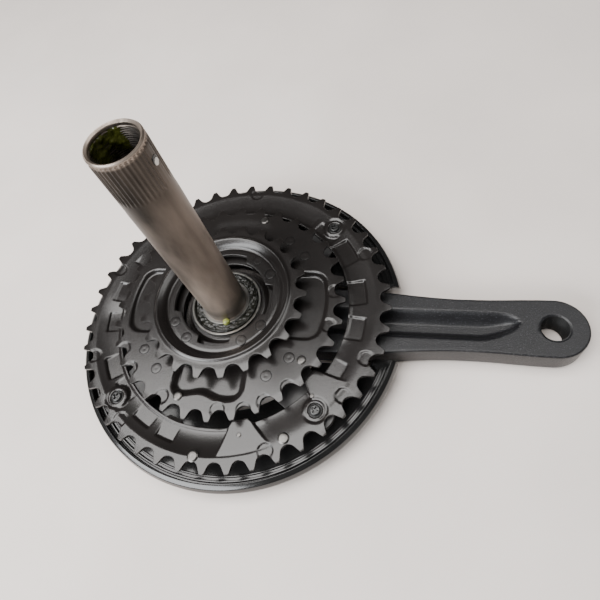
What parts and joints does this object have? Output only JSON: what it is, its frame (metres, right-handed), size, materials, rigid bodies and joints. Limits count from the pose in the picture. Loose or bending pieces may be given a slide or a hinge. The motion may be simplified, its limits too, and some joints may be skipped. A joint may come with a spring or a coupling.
{
  "type": "bicycle crankset",
  "caption": "Drive-side bicycle crankset: hollow splined spindle, crank arm with threaded pedal eye, riveted stepped chainrings and a plastic chain guard with a slot for the arm.",
  "frame": {"origin": "spindle axis at the bearing shoulder of the arm's hub", "axes": "+Z along the spindle towards its free end, +X along the crank arm towards the pedal hole"},
  "size_m": [0.2908, 0.1986, 0.155],
  "materials": {
    "spindle_steel": "satin, lightly greased",
    "plain_steel": "machined",
    "rivet_steel": "black, satin",
    "pin_steel": "bright",
    "black_steel": "black, semi gloss",
    "black_arm": "painted black, fine speckle",
    "black_plastic": "gloss",
    "black_screw": "black oxide"
  },
  "bodies": {
    "root": {"spindle": "spindle_steel", "spindle_pin": "pin_steel", "spindle_collar": "plain_steel", "crank_arm": "black_arm", "hub_ring": "plain_steel", "hub_cap": "black_plastic", "spider_sleeve": "plain_steel", "spider": "black_steel", "small_chainring": "black_steel", "middle_chainring": "black_steel", "large_chainring": "black_steel", "small_ring_rivets": "rivet_steel", "small_ring_spacers": "rivet_steel", "middle_ring_rivets": "rivet_steel", "middle_ring_spacers": "rivet_steel", "middle_ring_shift_pins": "pin_steel", "large_ring_shift_pins": "pin_steel", "large_ring_locating_pins": "pin_steel", "chain_guard": "black_plastic", "guard_screw_1": "black_screw", "screw_washer_1": "black_screw", "guard_screw_2": "black_screw", "screw_washer_2": "black_screw", "guard_screw_3": "black_screw", "screw_washer_3": "black_screw", "guard_screw_4": "black_screw", "screw_washer_4": "black_screw"}
  },
  "joints": []
}
